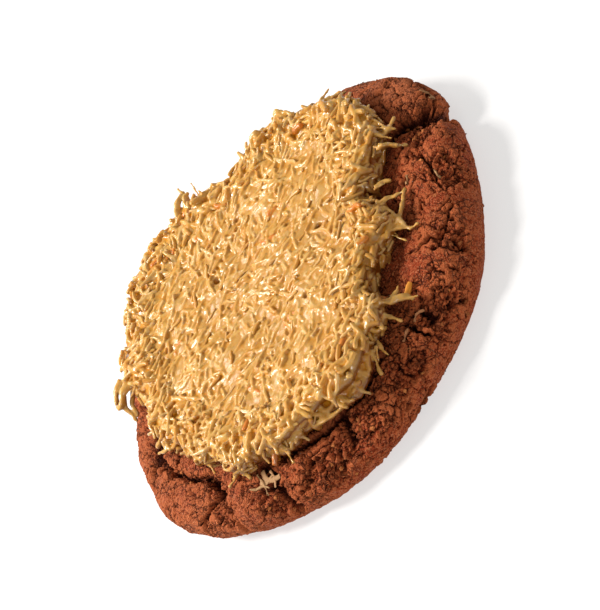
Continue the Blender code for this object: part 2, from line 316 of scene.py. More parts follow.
def smoothCrust(angle, reach):
    widest = cookieRadius(angle)
    crest = widest - cookie["rimWidth"]
    shoulder = np.clip(reach - 1, 0, 1) * math.pi / 2
    wall = np.clip(reach - 2, 0, 1)
    low, high = cookie["widestHeight"], cookie["crestHeight"]
    upper, lower = crest + cookie["rimWidth"] * np.sin(shoulder), widest - cookie["footTuck"] * wall**2
    radius = np.where(reach <= 1, crest * reach, np.where(reach <= 2, upper, lower))
    below = low + (high - low) * np.cos(shoulder) - low * wall
    return radius, np.where(reach <= 1, dishHeight(reach), below)


def crustHeight(angle, radius):
    crest = cookieRadius(angle) - cookie["rimWidth"]
    across = np.clip((radius - crest) / cookie["rimWidth"], 0, 1)
    low, high = cookie["widestHeight"], cookie["crestHeight"]
    return np.where(radius <= crest, dishHeight(radius / crest), low + (high - low) * np.sqrt(1 - across**2))


def crustLength(angle, reach):
    top = (cookieRadius(angle) - cookie["rimWidth"]) * np.clip(reach, 0, 1)
    shoulder = cookie["shoulderLength"] * np.clip(reach - 1, 0, 1)
    return top + shoulder + cookie["wallLength"] * np.clip(reach - 2, 0, 1)


# Each crack: half its width and its depth in mm, then its path as (angle in degrees, reach).
crust = {
    "cracks": (
        (2.2, 4.2, ((159, 1.05), (163, 1.25), (166, 1.45), (169, 1.70))),
        (0.9, 2.4, ((165, 1.32), (173, 1.20), (180, 1.13), (188, 1.08), (196, 1.06))),
        (0.9, 3.2, ((196, 1.05), (201, 1.22), (203, 1.40), (206, 1.60), (208, 1.9), (208, 2.4))),
        (0.5, 1.3, ((202, 1.32), (200, 1.50), (197, 1.75), (196, 2.0))),
        (1.7, 3.6, ((220, 1.10), (222.5, 1.40), (223.5, 1.60), (225, 1.85), (225, 2.1), (224, 2.3))),
        (0.6, 1.6, ((244, 1.60), (243, 1.85), (241, 1.98))),
        (0.9, 3.0, ((249.5, 1.22), (249, 1.50), (248, 1.72))),
        (1.6, 1.4, ((263, 2.75), (268, 2.75))),
        (0.5, 1.4, ((268.5, 1.50), (268.5, 1.70), (269, 1.88))),
        (0.6, 2.2, ((279, 1.22), (278.5, 1.45), (278.5, 1.75))),
        (0.6, 2.6, ((284.5, 1.33), (284, 1.45), (283.5, 1.58), (282.5, 1.72))),
        (0.5, 1.5, ((284.5, 1.33), (282, 1.30), (279, 1.26))),
        (0.35, 1.3, ((294, 1.42), (294, 1.56))),
        (0.35, 1.2, ((295.5, 1.62), (295.5, 1.76))),
        (0.3, 0.9, ((286.5, 1.52), (290, 1.50))),
        (0.6, 1.6, ((301, 1.10), (303, 1.30), (304, 1.50), (303, 1.70), (301, 1.85))),
        (0.4, 1.4, ((303, 1.40), (308, 1.50), (313, 1.62))),
        (0.45, 1.8, ((336, 1.27), (333, 1.27), (331, 1.33), (327, 1.35), (322.5, 1.38), (320, 1.5))),
        (0.4, 1.2, ((339, 1.05), (336, 1.20))),
        (0.4, 1.2, ((331, 1.55), (324, 1.70), (320, 1.85))),
        (2.1, 5.0, ((354, 0.95), (351.5, 1.15), (349.5, 1.36), (348.5, 1.6), (346.5, 1.85), (348, 2.1),
                    (354, 2.8))),
        (1.6, 3.6, ((350, 1.30), (350.5, 1.50), (351.5, 1.60))),
        (0.6, 2.0, ((347, 1.72), (350.5, 1.77), (354.5, 1.72), (358.5, 1.70), (364, 1.78), (370, 1.95))),
        (0.35, 1.2, ((378, 1.30), (375, 1.65))),
        (1.2, 1.6, ((224, 1.08), (233, 1.14), (246, 1.18), (258, 1.20), (268, 1.16))),  # under the topping
    ),
    # round holes: angle, reach, half width and depth in mm
    "pits": (
        (161, 1.28, 1.2, 3.6), (166, 1.16, 0.9, 3.4), (171, 1.30, 0.8, 2.8), (202.5, 1.32, 1.0, 2.6),
        (206, 1.57, 0.9, 2.4), (242.5, 1.82, 1.3, 2.4), (234, 1.70, 0.8, 1.6),
        (232, 1.75, 0.7, 1.5), (256, 1.63, 0.7, 1.8), (236, 1.45, 0.8, 1.5), (247, 1.75, 0.8, 1.8),
        (272, 1.68, 0.7, 1.6), (270.5, 1.95, 0.8, 1.4), (282.5, 1.72, 0.9, 2.4), (287, 1.95, 1.5, 3.2),
        (289, 2.15, 0.9, 2.0), (287, 2.5, 0.8, 1.6), (303, 1.70, 0.7, 1.8), (301, 1.85, 0.7, 1.8),
        (307, 1.42, 0.5, 1.4), (308, 1.58, 0.6, 1.5), (305, 1.10, 0.5, 1.2), (323, 1.55, 0.6, 1.4),
        (286, 0.95, 1.1, 2.2), (334.5, 0.83, 1.0, 1.8), (8, 1.27, 0.6, 1.2), (262.5, 2.15, 0.7, 1.0),
    ),
    # crumbly places: angle, reach, and how far they spread in degrees and in reach
    "crumbly": (
        (247, 1.62, 16, 0.42), (164, 1.30, 7, 0.30), (222, 1.65, 6, 0.60), (345, 1.55, 7, 0.60),
        (205, 1.5, 5, 0.5), (285, 1.70, 8, 0.45), (304, 1.60, 5, 0.40), (325, 1.55, 8, 0.25),
        (270, 1.75, 8, 0.30), (40, 1.6, 8, 0.4), (80, 1.7, 9, 0.4), (120, 1.6, 10, 0.4),
    ),
    # round swellings: angle, reach, how far they spread in degrees and in reach, height
    "domes": (
        (303.5, 1.42, 8, 0.34, 0.9 * mm), (331, 1.42, 11, 0.40, 0.8 * mm), (3, 1.35, 13, 0.45, 0.8 * mm),
        (186, 1.45, 11, 0.40, 0.7 * mm), (212, 1.42, 8, 0.40, 0.7 * mm), (233, 1.55, 8, 0.40, 0.5 * mm),
    ),
    "backCracks": (34, 58, 81, 104, 126, 143),
    "pillowDrop": 1.0 * mm,
    "pillowWidth": 2.2 * mm,
    "bumps": ((0.6 * mm, 7 * mm), (0.12 * mm, 2.8 * mm)),  # height and size
    # how far cracks and plates stray from their path: size and amount
    "drift": ((3.5 * mm, 0.9 * mm), (1.2 * mm, 0.45 * mm), (0.5 * mm, 0.16 * mm)),
    "plateDrift": ((4 * mm, 1.3 * mm), (1.3 * mm, 0.4 * mm)),
    # crusty plates: size, then how deep and how wide the cracks between them are, and how uneven their tops
    "plates": ((4.8 * mm, 1.10 * mm, 0.30 * mm, 0.22 * mm), (2.4 * mm, 0.75 * mm, 0.24 * mm, 0.05 * mm)),
    # smooth 0 to craggy 1, every 30 degrees
    "rough": (0.3, 0.5, 0.7, 0.7, 0.7, 0.6, 0.6, 0.7, 1.0, 1.0, 0.3, 0.25),
    "flakes": ((0.16 * mm, 2.4 * mm), (0.12 * mm, 1.1 * mm)),  # steps where a thin flake has come off
    "dents": ((0.30 * mm, 1.3 * mm), (0.16 * mm, 0.6 * mm)),  # depth and size of short pinched dents
    "pocks": 0.55 * mm,  # depth of small ragged holes
    # where it is broken open: how deep, then lumps and crumbs: size, depth, and depth of the gaps between
    "brokenDepth": 0.65 * mm,
    "lumps": (1.7 * mm, 1.1 * mm),
    "crumbs": (1.0 * mm, 0.55 * mm, 0.4 * mm),
    "grain": 0.08 * mm,
    "fullness": 0.5 * mm,  # how far shoulder and wall swell, to make up for what the relief takes
}


def allCracks():
    draw = np.random.default_rng(7)
    cracks = [(half, depth, path) for half, depth, path in crust["cracks"]]
    for angle in crust["backCracks"]:
        path = [(angle + draw.uniform(-2.5, 2.5), reach) for reach in (1.1, 1.3, 1.5, 1.75, 2.1, 2.6)]
        cracks.append((draw.uniform(0.7, 1.3), draw.uniform(1.8, 3.0), path))
    for angle, reach, half, depth in crust["pits"]:
        cracks.append((half, depth, ((angle, reach), (angle + 0.3, reach + 0.02))))
    return cracks


def distanceToPath(path, angle, along, planRadius):
    nearest = np.full(len(angle), math.inf)
    for (angleA, alongA), (angleB, alongB) in zip(path, path[1:]):
        turn = np.mod(angle - angleA + math.pi, 2 * math.pi) - math.pi
        side, up = turn * planRadius, along - alongA
        runSide, runUp = (angleB - angleA) * planRadius, alongB - alongA
        share = np.clip((side * runSide + up * runUp) / (runSide**2 + runUp**2 + 1e-12), 0, 1)
        nearest = np.minimum(nearest, np.hypot(side - share * runSide, up - share * runUp))
    return nearest


def wandering(points, steps):
    # a sideways drift in every direction: pairs of size and amount
    drift = np.zeros_like(points)
    for size, amount in steps:
        drift += np.stack([softNoise(points, size, seed) for seed in (21, 22, 23)], axis=1) * amount
    return drift


def crackedPlates(points, rough):
    # how deep the cracks between crusty plates are, and how uneven the plates
    relief = np.zeros(len(points))
    warped = points + wandering(points, crust["plateDrift"])
    for turn, (size, depth, width, uneven) in enumerate(crust["plates"]):
        nearest, second, pick = cellNoise(warped, size, 34 + turn)
        border = second - nearest
        comes = smoothStep(softNoise(points, size * 1.6, 30 + turn) + 0.4 * (rough - 0.5), -0.2, 0.25)
        relief += depth * comes * (1 - smoothStep(border, 0.1 * width, width))
        relief += rough * uneven * pick * smoothStep(border, 0, 0.7 * mm)
    return relief


def crumbliness(angle, reach, points, torn):
    # 0 on smooth crust to 1 where it is broken open
    crumbly = torn * 0.8
    for middleAngle, middleReach, wide, high in crust["crumbly"]:
        away = (turnFrom(angle, middleAngle) / wide) ** 2
        crumbly = np.maximum(crumbly, np.exp(-away - ((reach - middleReach) / high) ** 2))
    ragged = 0.45 * softNoise(points, 3.5 * mm, 43) + 0.22 * softNoise(points, 1.2 * mm, 44)
    return smoothStep(crumbly + ragged, 0.58, 0.70)


def crustRelief(angle, reach, points):
    # how deep the crust lies under its smooth form, and how torn it is there, 0 to 1
    planRadius = np.maximum(np.hypot(points[:, 0], points[:, 1]), cookie["rimWidth"])
    drift = wandering(points, crust["drift"])
    wandered = angle + drift[:, 0] / planRadius
    along = crustLength(angle, reach) + drift[:, 1]
    torn, opened, pillow = np.zeros((3, len(angle)))
    for half, depth, places in allCracks():
        path = [(math.radians(a), float(crustLength(math.radians(a), r))) for a, r in places]
        distance = distanceToPath(path, wandered, along, planRadius) / mm
        opened = np.maximum(opened, depth * mm * (1 - smoothStep(distance, 0.3 * half, half * 1.05)))
        torn = np.maximum(torn, 1 - smoothStep(distance, half * 0.6, half * 1.1 + 0.3))
        fall = np.exp(-np.maximum(distance - half, 0) * mm / crust["pillowWidth"])
        pillow = np.maximum(pillow, crust["pillowDrop"] * min(depth / 3.5, 1) * fall)
    relief = opened * (0.85 + 0.3 * softNoise(points, 1.6 * mm, 45))
    relief += pillow * (1 - 0.7 * smoothStep(reach, 1.8, 2.3))
    for height, size in crust["bumps"]:
        relief += height * (0.5 + 0.5 * softNoise(points, size, int(size / mm * 10)))
    for middleAngle, middleReach, wide, high, height in crust["domes"]:
        away = (turnFrom(angle, middleAngle) / wide) ** 4
        relief -= height * np.exp(-away - ((reach - middleReach) / high) ** 4)
    rough = ringValue(crust["rough"], angle)
    for height, size in crust["flakes"]:
        step = smoothStep(softNoise(points + drift * 0.3, size, int(size / mm * 10) + 5), -0.06, 0.06)
        relief += height * step * (0.15 + 0.65 * rough)

    broken = crumbliness(angle, reach, points, torn)
    shallower = (1 - 0.7 * broken) * (1 - 0.6 * smoothStep(reach, 1.75, 2.1))
    relief += shallower * crackedPlates(points, rough)
    for depth, size in crust["dents"]:
        dents = softNoise((points + drift * 0.5) * (1, 1, 1.6), size, int(size / mm * 10) + 7)
        relief += depth * (1 - broken) * rough**2 * smoothStep(dents, 0.46, 0.60)
    ragged = softNoise(points, 1.5 * mm, 47) + 0.5 * softNoise(points, 0.7 * mm, 48)
    relief += (1 - broken) * crust["pocks"] * smoothStep(ragged + 0.2 * (rough - 1), 0.55, 0.68)
    size, depth = crust["lumps"]
    nearest, second, pick = cellNoise(points, size, 41)
    lumps = depth * (pick > 0.5) * (1 - smoothStep(nearest, 0.2 * mm, 0.7 * mm))
    size, depth, gap = crust["crumbs"]
    nearest, second, pick = cellNoise(points + drift * 0.4, size, 51)
    lumps += depth * pick + gap * (1 - smoothStep(second - nearest, 0.05 * mm, 0.28 * mm))
    relief += broken * (crust["brokenDepth"] + lumps)
    streaks = softNoise(points * (0.35, 0.35, 1.5), 0.9 * mm, 63) * smoothStep(reach, 1.5, 1.9)
    relief += crust["grain"] * (softNoise(points, 0.5 * mm, 61) + 2.2 * streaks + 1)
    return relief - crust["fullness"] * smoothStep(reach, 1.2, 1.7), np.maximum(torn, broken)


def cookiePoints(angle, reach):
    onCrust = np.minimum(reach, 3.0)
    radius, height = smoothCrust(angle, onCrust)
    smooth = np.stack([radius * np.cos(angle), radius * np.sin(angle), height], axis=1)
    relief, torn = crustRelief(angle, onCrust, smooth)
    relief *= smoothStep(onCrust, 0.72, 0.9)
    lean = np.clip(reach - 1, 0, 1) * math.pi / 2
    radius = radius - relief * np.sin(lean)
    height = np.maximum(height - relief * np.cos(lean), 0)
    points = np.stack([radius * np.cos(angle), radius * np.sin(angle), height], axis=1)
    return np.clip(points, *np.array(cadBox)), relief, torn


def makeCookie():
    fine = cookie["spacing"] * 1
    around = int(2 * math.pi * cookie["meanRadius"] / fine)
    reaches = [0.3, 0.6, 0.68]
    reaches += list(np.arange(0.72, 1.0, fine / cookie["meanCrest"]))
    reaches += list(np.arange(1.0, 2.0, fine / cookie["shoulderLength"]))
    reaches += list(np.arange(2.0, 3.0, fine / cookie["wallLength"])) + [3.0]
    angle, reach = np.meshgrid(np.arange(around) * 2 * math.pi / around, reaches)
    points, relief, torn = cookiePoints(angle.ravel(), reach.ravel())
    rings = points.reshape(len(reaches), around, 3)
    under = [rings[-1] * (share, share, 0) for share in (0.985, 0.8)]
    rings = np.concatenate([rings, np.array(under)])
    mesh = gridMesh("cookieBody", rings, (0, 0, cookie["middleHeight"]), (0, 0, 0))
    for name, values in (("depth", relief / mm), ("torn", torn)):
        padded = np.zeros(len(mesh.vertices))
        padded[1:1 + len(values)] = values
        storeValues(mesh, name, padded)
    body = thinned(linked("cookieBody", mesh), cookie["triangles"])
    body.data.shade_smooth()
    markHollows(body.data, cookie["hollowRounds"])
    return body


doughLook = {
    "dough": (0.285, 0.040, 0.0096),
    "pale": (0.35, 0.072, 0.019),
    # paler, greyer tone: random pale specks of dust, and painted light on the lit sides
    "paleDustAndLitSide": (0.41, 0.15, 0.068),
    "edge": (0.44, 0.115, 0.036),
    # near-black: random dark specks, and painted shade in hollows and deep cracks
    "dark": (0.035, 0.004, 0.001),
    "torn": (0.20, 0.034, 0.008),
    "grain": (0.50, 0.20, 0.07),
    "crackle": ((430.0, 0.08, 0.48), (950.0, 0.10, 0.53)),  # fine cracks: scale, width, and how rare they are
    "gritDepth": 0.50 * mm,
    "shader": {"Roughness": 0.75, "Specular IOR Level": 0.10},
}


def cookieFinish():
    look = doughLook
    material, tree, shader = newMaterial("bakedCocoaDough", look["shader"])
    where = tree.nodes.new("ShaderNodeTexCoord").outputs["Object"]
    across, away, up = addNode(tree, "ShaderNodeSeparateXYZ", {0: where}).outputs
    broad = noiseAt(tree, where, 90.0, 4.0, 0.6).outputs[0]
    fine = noiseAt(tree, where, 2700.0, 1.0, 0.9).outputs[0]
    swirl = noiseAt(tree, where, 500.0, 2.0).outputs["Color"]
    warped = vectorCalc(tree, "ADD", where, vectorCalc(tree, "SCALE", swirl, 1.2 * mm))
    crackle = 0.0
    for scale, width, rare in look["crackle"]:
        inputs = {"Vector": warped, "Scale": scale}
        cells = addNode(tree, "ShaderNodeTexVoronoi", inputs, feature="DISTANCE_TO_EDGE")
        patch = ramped(tree, noiseAt(tree, where, scale / 2.2, 1.0).outputs[0], rare, rare + 0.1)
        line = times(tree, ramped(tree, cells.outputs[0], width, 0.0), patch)
        crackle = calc(tree, "MAXIMUM", crackle, line)
    crackle = times(tree, crackle, ramped(tree, up, 1 * mm, 8 * mm))

    # painted light: paler and greyer at the left and on the far right, the sides the lamp lights
    side = times(tree, ramped(tree, across, -22 * mm, -48 * mm), 0.28)
    litFarSide = times(tree, ramped(tree, across, 38 * mm, 46 * mm), ramped(tree, away, -12 * mm, 0.0))
    side = plus(tree, side, times(tree, litFarSide, 0.45))
    hollow = stored(tree, "hollow")
    speck = addNode(tree, "ShaderNodeTexVoronoi", {"Vector": where, "Scale": 1000.0})
    sparse = ramped(tree, speck.outputs["Color"], 0.90, 0.97)
    spot = times(tree, ramped(tree, speck.outputs["Distance"], 0.5, 0.2), sparse)
    colour = mixColours(tree, ramped(tree, broad, 0.35, 0.7), look["dough"], look["pale"])
    colour = mixColours(tree, side, colour, look["paleDustAndLitSide"])
    for mask, share, tone in (
        (ramped(tree, fine, 0.47, 0.34), 0.75, "dark"),
        (ramped(tree, fine, 0.54, 0.66), 0.90, "paleDustAndLitSide"),
        (stored(tree, "torn"), 0.35, "torn"),
        # lighter and oranger on ridges: partly the crust's own colour at crack edges, partly a painted
        # highlight
        (ramped(tree, hollow, -0.03, -0.18), 0.60, "edge"),
        # painted shade: darker in hollows and deep in cracks and pits
        (ramped(tree, hollow, 0.03, 0.24), 0.75, "dark"),
        (ramped(tree, stored(tree, "depth"), 1.8, 3.4), 0.9, "dark"),
        (crackle, 0.65, "dark"),
        (spot, 0.6, "grain"),
    ):
        colour = mixColours(tree, times(tree, mask, share), colour, look[tone])
    gritty = noiseAt(tree, where, 2900.0, 1.0, 0.9).outputs[0]
    height = calc(tree, "SUBTRACT", gritty, times(tree, crackle, 0.7))
    coloured(tree, shader, colour, height, 1.0, look["gritDepth"])
    return material


def newTree(name, start, end, sizes):
    # a node group from one shape to another, with an input for each size and for the finish
    tree = bpy.data.node_groups.new(name, "GeometryNodeTree")
    face = tree.interface
    face.new_socket(start, in_out="INPUT", socket_type="NodeSocketGeometry")
    for key, size in sizes.items():
        kind = "NodeSocketInt" if isinstance(size, int) else "NodeSocketFloat"
        face.new_socket(key, in_out="INPUT", socket_type=kind).default_value = size
    face.new_socket("Finish", in_out="INPUT", socket_type="NodeSocketMaterial")
    face.new_socket(end, in_out="OUTPUT", socket_type="NodeSocketGeometry")
    return tree, tree.nodes.new("NodeGroupInput").outputs


def endTree(tree, geometry, finish):
    real = addNode(tree, "GeometryNodeRealizeInstances", {0: geometry})
    made = addNode(tree, "GeometryNodeSetMaterial", {"Geometry": real.outputs[0], "Material": finish})
    result = tree.nodes.new("NodeGroupOutput")
    tree.links.new(made.outputs[0], result.inputs[0])
    return tree


def randomValue(tree, seed, low=0.0, high=1.0):
    made = addNode(tree, "FunctionNodeRandomValue", {2: low, 3: high, "Seed": seed}, data_type="FLOAT")
    return made.outputs[1]


def withPick(tree, dots, pick):
    # each point keeps its random number, which the finish reads
    inputs = {"Geometry": dots.outputs["Points"], "Name": "pick", "Value": pick}
    made = addNode(tree, "GeometryNodeStoreNamedAttribute", inputs, data_type="FLOAT", domain="POINT")
    return made.outputs[0]


def readValue(tree, name):
    return addNode(tree, "GeometryNodeInputNamedAttribute", {"Name": name}, data_type="FLOAT").outputs[0]


def pushed(tree, geometry, colour, amount, flatten=(1.0, 1.0, 1.0)):
    # every point moved by a noise's colour, which is centred first
    centred = vectorCalc(tree, "SUBTRACT", colour, (0.5, 0.5, 0.5))
    way = vectorCalc(tree, "SCALE", vectorCalc(tree, "MULTIPLY", centred, flatten), amount)
    return addNode(tree, "GeometryNodeSetPosition", {"Geometry": geometry, "Offset": way}).outputs[0]


crumbSizes = {"Density": 0.62e6, "Small": 0.12 * mm, "Large": 0.4 * mm, "Uneven": 0.9 * mm, "Seed": 5}


def crumbTree():
    tree, given = newTree("looseCrumbs", "Crust", "Crumbs", crumbSizes)
    amount = plus(tree, calc(tree, "POWER", readValue(tree, "torn"), 2.0), 0.03)
    dots = addNode(tree, "GeometryNodeDistributePointsOnFaces", {
        "Mesh": given["Crust"], "Density": times(tree, amount, given["Density"]), "Seed": given["Seed"]})
    pick = randomValue(tree, given["Seed"])
    larger = calc(tree, "SUBTRACT", given["Large"], given["Small"])
    size = plus(tree, given["Small"], times(tree, calc(tree, "POWER", pick, 3.0), larger))
    grain = addNode(tree, "GeometryNodeMeshIcoSphere", {"Radius": 1.0, "Subdivisions": 2})
    many = addNode(tree, "GeometryNodeInstanceOnPoints", {
        "Points": withPick(tree, dots, pick), "Instance": grain.outputs["Mesh"],
        "Rotation": dots.outputs["Rotation"], "Scale": size})
    real = addNode(tree, "GeometryNodeRealizeInstances", {"Geometry": many.outputs[0]})
    place = tree.nodes.new("GeometryNodeInputPosition").outputs[0]
    uneven = noiseAt(tree, place, 3200.0, 0.0).outputs["Color"]
    return endTree(tree, pushed(tree, real.outputs[0], uneven, given["Uneven"]), given["Finish"])


crumbLook = {
    "dark": (0.09, 0.018, 0.006),
    "brown": (0.24, 0.06, 0.02),
    "toasted": (0.50, 0.17, 0.05),
    "gritDepth": 0.2 * mm,
    "shader": {"Roughness": 0.85, "Specular IOR Level": 0.15},
}


def crumbFinish():
    look = crumbLook
    material, tree, shader = newMaterial("looseCocoaCrumb", look["shader"])
    pick = stored(tree, "pick")
    colour = mixColours(tree, ramped(tree, pick, 0.1, 0.8), look["dark"], look["brown"])
    colour = mixColours(tree, ramped(tree, pick, 0.94, 0.99), colour, look["toasted"])
    where = tree.nodes.new("ShaderNodeTexCoord").outputs["Object"]
    coloured(tree, shader, colour, noiseAt(tree, where, 3000.0, 3.0).outputs[0], 0.8, look["gritDepth"])
    return material


def grownOn(name, skin, tree, finish, **sizes):
    piece = linked(name, skin.copy())
    grow = piece.modifiers.new("grow", "NODES")
    grow.node_group = tree
    wanted = {"Finish": finish, **sizes}
    for item in tree.interface.items_tree:
        if item.in_out == "INPUT" and item.name in wanted:
            grow[item.identifier] = wanted[item.name]
    applied(piece)
    print(name, len(piece.data.polygons), "faces")
    return piece


spread = {
    "radii": (  # mm, every 7.5 degrees
        39.8, 41.2, 41.6, 41.5, 41.1, 40.6, 40.2, 38.9, 37.3, 36.9, 38.2, 40.7,
        43.0, 44.3, 45.0, 44.9, 44.0, 42.8, 42.4, 41.2, 38.8, 37.6, 38.2, 38.2,
        37.6, 37.2, 37.8, 38.6, 39.4, 41.6, 41.4, 43.0, 42.4, 42.6, 44.2, 44.6,
        41.4, 41.0, 33.8, 30.8, 31.8, 33.8, 34.0, 30.6, 28.8, 30.2, 33.4, 37.8,
    ),
    # heaps on the edge: angle, share of the outline, how far they spread in degrees, height
    "heaps": (
        (113, 0.90, 11, 1.2 * mm), (93, 0.90, 5, 1.0 * mm), (80, 0.92, 3.5, 1.4 * mm),
        (50, 0.88, 3, 1.4 * mm), (39, 0.92, 3, 1.2 * mm), (206, 0.92, 5, 0.5 * mm),
    ),
    "top": 17.2 * mm,
    # each core: size, how far out it is sunk, seed
    "cores": {"creamMiddle": (0.9, 0.0, 71), "creamEdge": (1.0, 0.78, 76)},
    "creamDrop": 0.6 * mm,  # the cream's top under the whole's
    "sunkDrop": 1.2 * mm,
    "meanRadius": 40 * mm,
    "swell": 1.2 * mm,  # rise of the top from the middle to the mean radius
    "waves": 0.9 * mm,
    "waveSize": 11 * mm,
    "waveStart": (4 * 17.3, 4 * 5.1, 4 * 9.7),
    # how far the outline goes in and out and the surface up and down, and over what distance
    "ragged": (1.1 * mm, 5 * mm),
    "lumps": (0.25 * mm, 4 * mm),
    "smallLumps": (0.42 * mm, 1.7 * mm),
    "nearHollow": 2.0 * mm,  # how far the near side is hollowed under its rim
    "edge": 3.4 * mm,
    "tuck": 1.3 * mm,
    "belly": 0.45,
    "restGap": 0.3 * mm,  # between the crust and the cream's underside
    "liftGap": 0.1 * mm,  # between the crust and what would lie in it
    "highest": 20.3 * mm,
    "voxel": 0.18 * mm,  # of the skin that covers shreds and cream
    "hollowRounds": 14,  # of softening, to tell hollows from ridges
    "triangles": 197000,
}


def spreadRadius(angle):
    return ringValue(spread["radii"], angle) * mm


def spreadHeight(x, y):
    start = Vector(spread["waveStart"])
    waves = np.array([noise.noise(Vector((a, b, 0)) / spread["waveSize"] + start) for a, b in zip(x, y)])
    angle, radius = np.arctan2(y, x), np.hypot(x, y)
    height = spread["top"] + spread["swell"] * (radius / spread["meanRadius"]) ** 3 + spread["waves"] * waves
    for middle, share, wide, high in spread["heaps"]:
        outwards = (radius / spreadRadius(angle) - share) / 0.12
        height += high * np.exp(-((turnFrom(angle, middle) / wide) ** 2) - outwards**2)
    return height


def makeCore(name):
    # the cream, a little smaller than the whole, because shreds lie on it; its middle may lie lower
    size, sunkShare, seed = spread["cores"][name]
    around = 320
    # the turn goes from 0 in the middle of the top over the edge, 1 to 2, to 3 in the middle underneath
    turns = [np.linspace(0.03, 1, 46), np.linspace(1, 2, 26)[1:], np.linspace(2, 2.97, 20)[1:]]
    turns = np.concatenate(turns)
    angle, turn = np.meshgrid(np.arange(around) * 2 * math.pi / around, turns)
    angle, turn = angle.ravel(), turn.ravel()
    circle = np.stack([np.cos(angle), np.sin(angle), 0 * angle], axis=1) * spread["meanRadius"]
    depth, wide = spread["ragged"]
    outline = spreadRadius(angle) * size + (softNoise(circle, wide, seed) - 0.8) * depth
    shoulder, foot = outline - spread["edge"], outline - spread["tuck"]
    roundEdge = np.clip(turn - 1, 0, 1) * math.pi
    upper = roundEdge <= math.pi / 2
    bulge = np.sin(roundEdge)
    edge = np.where(upper, shoulder + spread["edge"] * bulge, foot + spread["tuck"] * bulge)
    radius = np.where(turn < 1, shoulder * turn, np.where(turn > 2, foot * (3 - turn), edge))
    x, y = radius * np.cos(angle), radius * np.sin(angle)
    share = radius / spreadRadius(angle)
    sunk = 1 - smoothStep(share, sunkShare - 0.08, sunkShare)
    top = spreadHeight(x, y) - spread["creamDrop"] - spread["sunkDrop"] * sunk
    bottom = crustHeight(angle, radius) + spread["restGap"]
    belly = bottom + spread["belly"] * (top - bottom)
    rise = np.where(upper, top - belly, belly - bottom) * np.cos(roundEdge)
    points = np.stack([x, y, np.where(turn > 2, bottom, belly + rise)], axis=1)
    outer = 0.3 + 0.7 * smoothStep(share, 0.7, 0.85)
    depth, wide = spread["lumps"]
    lumps = softNoise(points, wide, seed + 1) * depth * (1 + outer)
    depth, wide = spread["smallLumps"]
    lumps += softNoise(points, wide, seed + 2) * depth * outer
    nearest, second, pick = cellNoise(points * (1, 1, 0.3), 4.5 * mm, seed + 3)
    lumps -= (pick > 0.75) * (1.5 + 1.0 * bulge) * mm * (1 - smoothStep(nearest, 0.4 * mm, 1.1 * mm))
    nearSide = np.exp(-((turnFrom(angle, 254) / 30) ** 4)) * (turn > 1)
    lumps -= spread["nearHollow"] * nearSide * np.exp(-(((roundEdge / math.pi - 0.52) / 0.13) ** 2))
    outward = np.stack([np.cos(angle) * bulge, np.sin(angle) * bulge, np.cos(roundEdge)], axis=1)
    points += outward * (lumps * (turn < 1.9) * (1 - sunk))[:, None]
    rings = points.reshape(len(turns), around, 3)
    mesh = gridMesh(name, rings, rings[0].mean(0), rings[-1].mean(0))
    storeValues(mesh, "pick", np.zeros(len(mesh.vertices)))
    return linked(name, mesh)


def skinWhere(mesh, keep):
    # the faces of a mesh whose middle passes a test on angle in degrees, share of the outline, and slope
    form = bmesh.new()
    form.from_mesh(mesh)
    middles = np.array([tuple(face.calc_center_median()) for face in form.faces])
    slopes = np.array([face.normal.z for face in form.faces])
    angle = np.arctan2(middles[:, 1], middles[:, 0])
    share = np.hypot(middles[:, 0], middles[:, 1]) / spreadRadius(angle)
    kept = keep(np.degrees(angle) % 360, share, slopes)
    form.faces.ensure_lookup_table()
    bmesh.ops.delete(form, geom=[form.faces[i] for i in np.flatnonzero(~kept)], context="FACES")
    return meshFrom("skin", form)


shredSizes = {  # of the tree's inputs, where the rows below it say nothing else
    "Spacing": 1 * mm, "Density": 400000.0, "Radius": 0.45 * mm, "Short": 3 * mm, "Long": 7 * mm,
    "Scatter": 1.0, "Sink": -0.3 * mm, "Rise": 0.3 * mm, "Tilt": 0.2, "Bend": 1.5 * mm, "Swirl": 2.0,
    "Sides": 6, "Knots": 6, "Seed": 1,
}
# What grows on which skin: seed, then spacing, radius, shortest and longest, sink, rise and bend in mm,
# then how much the shreds scatter, tilt and swirl.
shreds = {
    "middleFlakes": ("middle", 3, (3.4, 0.60, 2.0, 5.0, -0.50, -0.15, 3.0), (0.8, 0.08, 3.0)),
    "middleShreds": ("middle", 9, (0.88, 0.40, 2.0, 5.5, -0.27, 0.20, 3.6), (0.7, 0.04, 4.0)),
    "edgeFlakes": ("edge", 5, (2.4, 0.62, 2.0, 5.5, -0.3, 0.5, 2.6), (0.9, 0.18, 6.0)),
    "edgeShreds": ("edge", 10, (1.15, 0.50, 2.2, 5.5, -0.25, 0.6, 4.5), (0.6, 0.16, 6.0)),
    "wallShreds": ("wall", 6, (1.5, 0.54, 2.2, 6.5, -0.2, 0.5, 5.0), (1.5, 0.10, 4.0)),
    "looseMiddle": ("middle", 19, (6.0, 0.36, 2.0, 5.0, 0.0, 0.25, 3.0), (0.6, 0.08, 2.0)),
    "looseEdge": ("edge", 20, (2.6, 0.42, 2.0, 4.5, 0.1, 0.6, 3.0), (1.0, 0.22, 2.0)),
}


